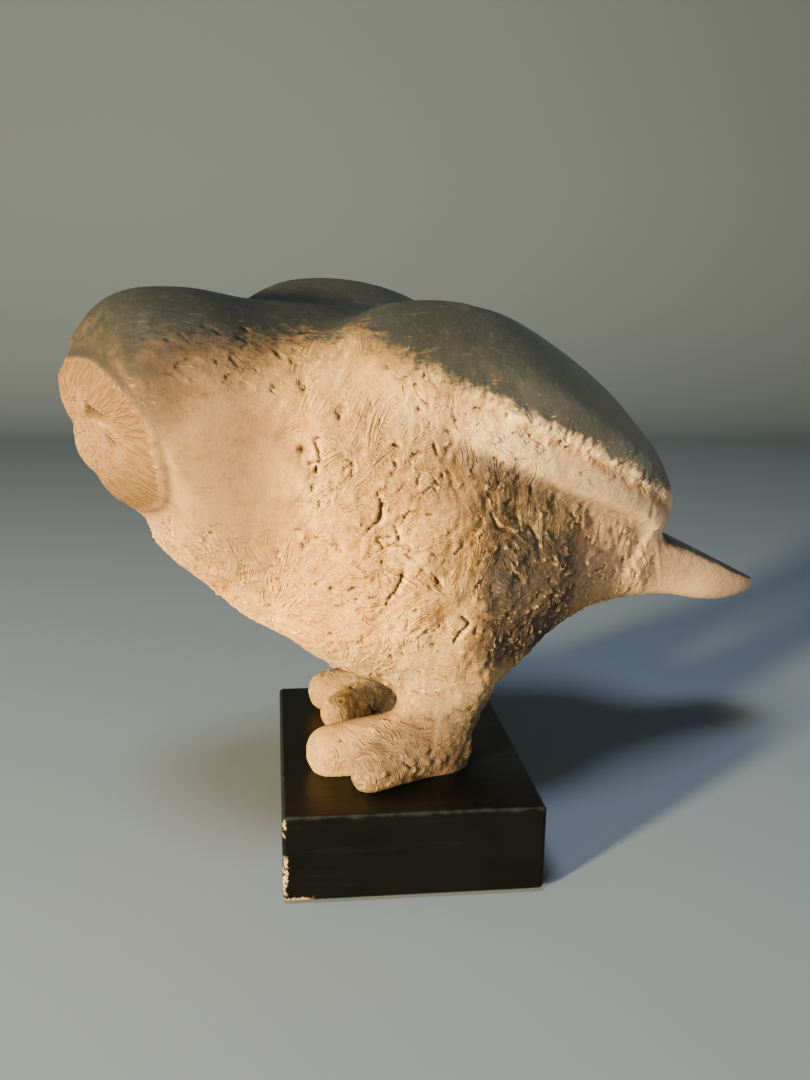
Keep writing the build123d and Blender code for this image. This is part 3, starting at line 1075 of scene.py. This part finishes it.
def clay_colour(f, n):
    """Bare clay: sand and ochre, paler on rough places, darker in grooves and stained parts, with
    painted shade and painted light where marked below.
    """
    clay = f.mix(f.step(n.clouds, 0.38, 0.66), SAND, PALE_SAND)
    clay = f.mix(f.step(n.blotches, 0.5, 0.72) * 0.75, clay, OCHRE)
    clay = f.mix(f.step(f.noise(21), 0.56, 0.74) * 0.45, clay, ROSE)
    neck, band, stain = f.attribute("neck"), f.attribute("band"), f.attribute("stain")
    clay = f.mix(neck * 0.85, clay, NECK_OCHRE)
    smears = f.step(f.noise(6, 4, 0.7, (1, 0.45, 1)), 0.45, 0.7)
    clay = f.tint(neck * smears * 0.45, clay, SMEAR_TINT)
    clay = f.mix(f.attribute("face"), clay, FACE_OCHRE)
    chalky = n.legs * 0.15 + n.rough * f.step(n.clouds, 0.45, 0.7) * 0.45
    clay = f.mix(chalky * f.step(n.flecks, 0.35, 0.65), clay, CHALK)
    between = f.step(n.lines, 0.6, 0.36) - 0.5
    clay = f.tint(0.24 + between * n.marked, clay, GROOVE_TINT)
    # Paler on the band under each wing edge, the rear haunch and the tail: partly the clay's paler
    # colour, partly painted light where these faces turn to the lamps.
    clay = f.mix(f.most(band * 0.85, f.attribute("tail") * 0.6), clay, BONE)
    clay = f.mix(band * f.step(f.noise(5, 3, 0.6), 0.4, 0.65) * 0.35, clay, ROSE)
    clay = f.mix(f.attribute("under") * f.step(n.blotches, 0.35, 0.6) * 0.6, clay, RUST)
    # Painted shade: darker and cooler towards the bottom.
    clay = f.tint(f.attribute("low"), clay, LOW_TINT)
    # Darker on the heels, outer toes, jaw and tail, and painted shade in the eye pits and in the
    # groove outside the disc's rim.
    clay = f.tint(stain * f.step(n.flecks, 0.3, 0.7, 0.75, 1), clay, STAIN_AND_SHADE_TINT)
    # Painted shade, partly a brown stain, on the rear of each flank; where the share passes 1,
    # deeper painted shade low on the rear.
    shade_and_brown = f.attribute("shade") * f.step(n.flecks, 0.3, 0.65, 1, 0.8)
    clay = f.tint(shade_and_brown, clay, SHADE_TINT)
    clay = f.tint(shade_and_brown - 1, clay, DEEPER_TINT)
    clay = f.mix(f.step(n.dust, 0.62, 0.78) * 0.25, clay, UMBER)
    plain = 1 - f.most(n.disc, stain) * 0.7
    # Darker in hollows, paler on ridges: partly a wash in the hollows and clay rubbed pale on the
    # ridges, partly painted shade in the hollows and painted highlight on the ridges.
    clay = f.mix(f.step(n.hollow, 0.03, 0.42, 0, 0.85) * plain, clay, UMBER)
    clay = f.mix(f.step(n.hollow, -0.06, -0.36, 0, 0.45) * plain, clay, CHALK)
    # Painted shade between the feet and on the far toes.
    return f.tint(f.attribute("deep"), clay, FOOT_SHADE_TINT)


def smoked(f, n, clay, drift, fray, level):
    """Greys the clay towards the patina, and on the brow."""
    haze = f.step(level + drift * 10, -32, -3)
    haze = haze * (0.12 + n.blur * 0.18)
    veil = f.step(level + fray * 14, -22, -1) * n.blur * 0.8
    # Darker on the brow: partly a smoky tone, partly painted shade above the disc.
    brow = f.attribute("brow") * f.step(drift, -0.2, 0.1, 0.8, 0.96)
    return f.mix(f.most(haze, veil, brow), clay, SMOKE)


def patina_cover(f, n, fray, level):
    """Where the patina covers the clay: frayed at its lower edge, blurred on the head, and
    scratched."""
    streaks = f.noise(2.6, 4, 0.75, (1, 0.35, 1)) - 0.5
    frayed = level + fray * f.step(n.blur, 0, 1, 4, 9) + streaks * n.blur * 34
    start, end = (-2.5 + n.blur * -3.5, 2.5 + n.blur * 3)
    scratch = f.step(f.noise(1.4, 2, 0.6, (0.7, 0.22, 1)), 0.60, 0.68)
    scratched = scratch * f.step(n.flecks, 0.48, 0.6) * f.step(n.top, 15, 0)
    return f.step(frayed, start, end) * (1 - scratched * 0.8)


def patina_colour(f, n):
    worn = f.step(f.noise(9, 4, 0.7), 0.5, 0.7) * (0.5 + n.blur * -0.36)
    # Darker head patina, also on the far wing's front: partly painted shade.
    patina = f.mix(worn, f.mix(n.blur, PATINA_WING, PATINA_HEAD), PATINA_WORN_AND_LIT)
    # Painted light: paler patina towards the rear of the wings.
    patina = f.mix(f.attribute("aged") * 0.7, patina, PATINA_WORN_AND_LIT)
    return f.mix(f.step(n.lines, 0.6, 0.75) * 0.35, patina, PATINA_WORN_AND_LIT)


def clay_finish():
    """Fired clay in sand and ochre tints, with a dark scratched patina over its upper side."""
    f = Finish("clay")
    names = ("top", "hollow", "rough", "disc", "legs", "blur", "scored")
    n = SimpleNamespace(**{name: f.attribute(name) for name in names})
    n.lines = f.noise(1.25, 2, 0.6, (1, 0.13, 1), f.attribute("grain", "Vector"))
    n.clouds = f.noise(42, 3)
    n.blotches = f.noise(13, 3, 0.6)
    n.flecks = f.noise(3, 3, 0.6)
    n.dust = f.noise(0.7, 2, 0.7)
    n.marked = f.most(n.rough, n.disc * 0.8) * n.scored
    drift = f.noise(11, 4, 0.65) - 0.5
    fray = f.noise(3.6, 3, 0.7) - 0.5
    level = n.top + drift * 13 + n.hollow * 3
    covered = patina_cover(f, n, fray, level)
    clay = smoked(f, n, clay_colour(f, n), drift, fray, level)
    colour = f.mix(covered, clay, patina_colour(f, n))

    lines = f.step(n.lines, 0.32, 0.66) - 0.5
    fine = f.bump(lines * (0.05 + n.marked * 0.95), 0.82)
    fine = f.bump(n.flecks * (0.25 + n.rough * 0.75), 0.8, fine)
    fine = f.bump(n.dust * (0.4 + n.legs * 0.6), 0.3, fine)
    roughness = f.step(covered, 0, 1, 0.86, 0.58) + (n.flecks - 0.5) * 0.25
    shine = 0.12 + covered * f.step(n.blur, 0, 1, 0.24, 0.08)
    return f.finish(colour, roughness, fine, shine=shine)


def box_edge_gap(f, low, high):
    """Distance from the nearest edge of an upright block, for points on its surface."""
    place = [f.add("SeparateXYZ", axis, {0: f.place}) for axis in range(3)]
    gaps = []
    for axis in range(3):
        offset = f.math("ABSOLUTE", place[axis] - (low[axis] + high[axis]) / 2)
        gaps.append((high[axis] - low[axis]) / 2 - offset)
    first, second, third = gaps
    smaller = f.math("MINIMUM", first, second)
    return f.most(smaller, f.math("MINIMUM", f.most(first, second), third)), place


def chipped(f, edge, place, low, high):
    """Where the paint is gone: along one upright edge and its foot, with small nicks."""
    x, y, z = place
    corner = high[0] - x + (y - low[1])
    jagged = (f.noise(2.6, 4, 0.8) - 0.5) * 9
    upright = corner + jagged
    top = f.step(z, 32, 35) * f.step(z, 42.5, 41) * f.step(upright, 1.3, 1)
    bottom = f.step(z, 4, 7) * f.step(z, 25, 21) * f.step(upright, 1.9, 1.6)
    foot = f.step(z - low[2] + jagged, 1.9, 1.6)
    foot = foot * f.step(y, low[1] + 15, low[1] + 9) * f.step(x, high[0] - 4, high[0] - 2)
    nicks = f.step(edge + jagged, -2.3, -2.5) * f.step(f.noise(17), 0.62, 0.66)
    return f.most(top, bottom, foot, nicks)


def paint_finish():
    """Black satin paint, thin and greyer on the edges and lighter along the top edges as painted
    highlight, chipped to pale wood at one corner.
    """
    low, high = ([value / MM for value in corner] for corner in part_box("plinth"))
    f = Finish("black_paint")
    edge, place = box_edge_gap(f, low, high)
    clouds = f.noise(24, 4, 0.6)
    brushed = f.noise(5, 3, 0.6, (1, 0.07, 1))
    paint = f.mix(clouds, PAINT_BLACK, PAINT_CLOUDY)
    paint = f.mix(f.step(brushed, 0.55, 0.75) * 0.5, paint, PAINT_BRUSHED)
    paint = f.mix(f.step(f.noise(0.9, 3, 0.7), 0.68, 0.8) * 0.25, paint, PAINT_DUST)
    # Rubbed edge paint, strongest along the top edges, where it is partly a painted highlight.
    upper = f.step(place[2], high[2] - 5, high[2] - 2.5, 0.1, 0.7)
    rubbed_and_lit = f.step(edge + f.noise(6) * -3, 0.4, -1.6)
    paint = f.mix(rubbed_and_lit * upper, paint, PAINT_RUBBED_AND_LIT)
    chip = chipped(f, edge, place, low, high)
    wood = f.mix(f.noise(1.6, 3, 0.6, (1, 0.12, 1)), WOOD_DARK, WOOD_PALE)
    relief = f.bump(f.noise(2.2, 3), 0.05, f.bump(brushed, 0.12))
    relief = f.bump(1 - chip, 0.5, relief)
    roughness = f.step(chip, 0, 1, 0.36, 0.85) + (clouds - 0.5) * 0.3
    return f.finish(f.mix(chip, paint, wood), roughness, relief, shine=0.08)


def felt_finish():
    """Dark felt with short matted fibres."""
    f = Finish("felt")
    fibres = f.noise(0.9, 4, 0.8, (1, 0.35, 1))
    matted = f.most(fibres, f.noise(0.9, 4, 0.8, (0.3, 1, 1)))
    colour = f.mix(f.step(matted, 0.45, 0.75), FELT_DARK, FELT_PALE)
    colour = f.mix(f.step(f.noise(11, 3), 0.5, 0.7) * 0.35, colour, FELT_BROWN)
    return f.finish(colour, 0.97, f.bump(matted, 0.35), shine=0.15)


def steel_finish():
    """Zinc-plated steel with fine turning lines and dull spots."""
    f = Finish("zinc_steel")
    lines = f.noise(0.5, 2, 0.6, (0.15, 0.15, 2))
    spots = f.noise(3.5, 4, 0.65)
    colour = f.mix(f.step(spots, 0.4, 0.7), ZINC, ZINC_DULL)
    colour = f.mix(f.step(lines, 0.55, 0.75) * 0.4, colour, ZINC_BRIGHT)
    roughness = f.step(spots, 0.35, 0.75, 0.28, 0.5) + lines * 0.08
    return f.finish(colour, roughness, f.bump(lines, 0.04), metallic=1.0)


def filler_finish():
    """Cast grey-white filler with trapped bubbles."""
    f = Finish("cast_filler")
    spots = f.add("TexVoronoi", "Distance", {"Vector": f.place, "Scale": 1 / 3.4}, feature="F1")
    bubbles = f.step(spots, 0.2, 0.34)
    grit = f.noise(0.7, 3, 0.7)
    colour = f.mix(f.noise(9, 4, 0.6), FILLER_DARK, FILLER_PALE)
    colour = f.mix(f.step(grit, 0.6, 0.75) * 0.5, colour, FILLER_GRIT)
    colour = f.mix(1 - bubbles, colour, FILLER_BUBBLE)
    return f.finish(colour, 0.88, f.bump(bubbles, 0.5, f.bump(grit, 0.15)), shine=0.25)


def dress_cad_nodes():
    """Gives the kept nodes their finishes, chosen by material slot."""
    finishes = {
        "painted_wood": paint_finish(),
        "felt": felt_finish(),
        "steel": steel_finish(),
        "filler": filler_finish(),
    }
    for part in frame["record"]["subparts"]:
        if part["material_slot"] in finishes:
            piece = frame["nodes"][part["node"]]
            piece.data.materials.clear()
            piece.data.materials.append(finishes[part["material_slot"]])


def build_owl():
    """Makes the owl and stands it on its plinth in the shared frame."""
    piece = owl_form()
    texture_owl(piece.data)
    stand = Matrix.Translation((OWL_OFFSET_X * MM, 0, PLINTH_TOP))
    piece.data.transform(stand @ Matrix.Rotation(OWL_HEADING, 4, "Z"))
    piece.data.materials.append(clay_finish())
    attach(piece, "root")
    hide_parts("owl_body")


# ---- camera, light and floor ----
CAMERA_PLACE = (0.52276, -0.06204, 0.27418)
CAMERA_HEADING = math.radians(-7.042)
CAMERA_DIP = math.radians(13.306)
CAMERA_TILT = math.radians(0.918)
CAMERA_LENS = 36.33

# A low warm key from the front left, a high soft light and two weak fills: name, place,
# diameter, power, colour. A faint cool surround lights the rest.
LAMPS = (
    ("key", (1.08, -1.18, 0.29), 0.16, 166, (1.0, 0.75, 0.39)),
    ("high", (0.50, -0.26, 1.35), 0.38, 15, (0.93, 0.97, 1.0)),
    ("side", (0.72, 1.15, 0.24), 0.5, 6.4, (1.0, 0.94, 0.86)),
    ("rear", (-1.1, 0.6, 1.1), 1.2, 0.9, (0.85, 0.93, 1.0)),
)
LAMP_AIM = (0, 0, 0.16)
SURROUND = (0.50, 0.62, 0.76, 1)
SURROUND_STRENGTH = 0.03

FLOOR_FRONT = 1.6
FLOOR_BACK = 1.4
FLOOR_HALF_WIDTH = 2.5
SWEEP_RADIUS = 0.5
SWEEP_STEPS = 12
BACKDROP_TOP = 2.6
FLOOR_COLOUR = (0.148, 0.198, 0.258)


def add_camera():
    """Three-quarter view from the owl's left, a little above it."""
    level = math.cos(CAMERA_DIP)
    x, y = math.cos(CAMERA_HEADING) * level, math.sin(CAMERA_HEADING) * level
    ahead = -np.array((x, y, math.sin(CAMERA_DIP)))
    right = np.cross(ahead, (0, 0, 1))
    right /= np.linalg.norm(right)
    up = np.cross(right, ahead)
    cosine, sine = math.cos(CAMERA_TILT), math.sin(CAMERA_TILT)
    right, up = cosine * right + sine * up, cosine * up - sine * right
    camera = bpy.data.cameras.new("camera")
    camera.lens = CAMERA_LENS
    camera.sensor_width = 36.0
    camera.clip_start = 0.01
    holder = add_object("camera", camera)
    place = np.eye(4)
    place[:3] = columns(right, up, -ahead, CAMERA_PLACE)
    holder.matrix_world = Matrix(place.tolist())
    bpy.context.scene.camera = holder


def add_lights():
    for name, place, size, power, colour in LAMPS:
        lamp = bpy.data.lights.new(name, "AREA")
        lamp.shape = "DISK"
        lamp.size, lamp.energy, lamp.color = size, power, colour
        holder = add_object(name, lamp)
        holder.location = place
        holder.rotation_mode = "QUATERNION"
        holder.rotation_quaternion = (Vector(LAMP_AIM) - holder.location).to_track_quat("-Z", "Y")
    world = bpy.data.worlds.new("studio")
    world.use_nodes = True
    background = world.node_tree.nodes["Background"]
    background.inputs["Color"].default_value = SURROUND
    background.inputs["Strength"].default_value = SURROUND_STRENGTH
    bpy.context.scene.world = world


def add_floor():
    """A level floor that sweeps up into a backdrop behind the object."""
    outline = [(FLOOR_FRONT, 0.0)]
    for angle in np.linspace(0, math.pi / 2, SWEEP_STEPS + 1):
        run, rise = SWEEP_RADIUS * math.sin(angle), SWEEP_RADIUS * (1 - math.cos(angle))
        outline.append((-FLOOR_BACK - run, rise))
    outline.append((-FLOOR_BACK - SWEEP_RADIUS, BACKDROP_TOP))
    points = [(x, side, z) for x, z in outline for side in (-FLOOR_HALF_WIDTH, FLOOR_HALF_WIDTH)]
    faces = [(row, row + 1, row + 3, row + 2) for row in range(0, len(points) - 2, 2)]
    mesh = bpy.data.meshes.new("floor")
    mesh.from_pydata(points, [], faces)
    mesh.polygons.foreach_set("use_smooth", [True] * len(faces))
    mesh.materials.append(Finish("floor").finish(FLOOR_COLOUR, 0.9))
    add_object("floor", mesh)


build_owl()
dress_cad_nodes()
add_camera()
add_lights()
add_floor()
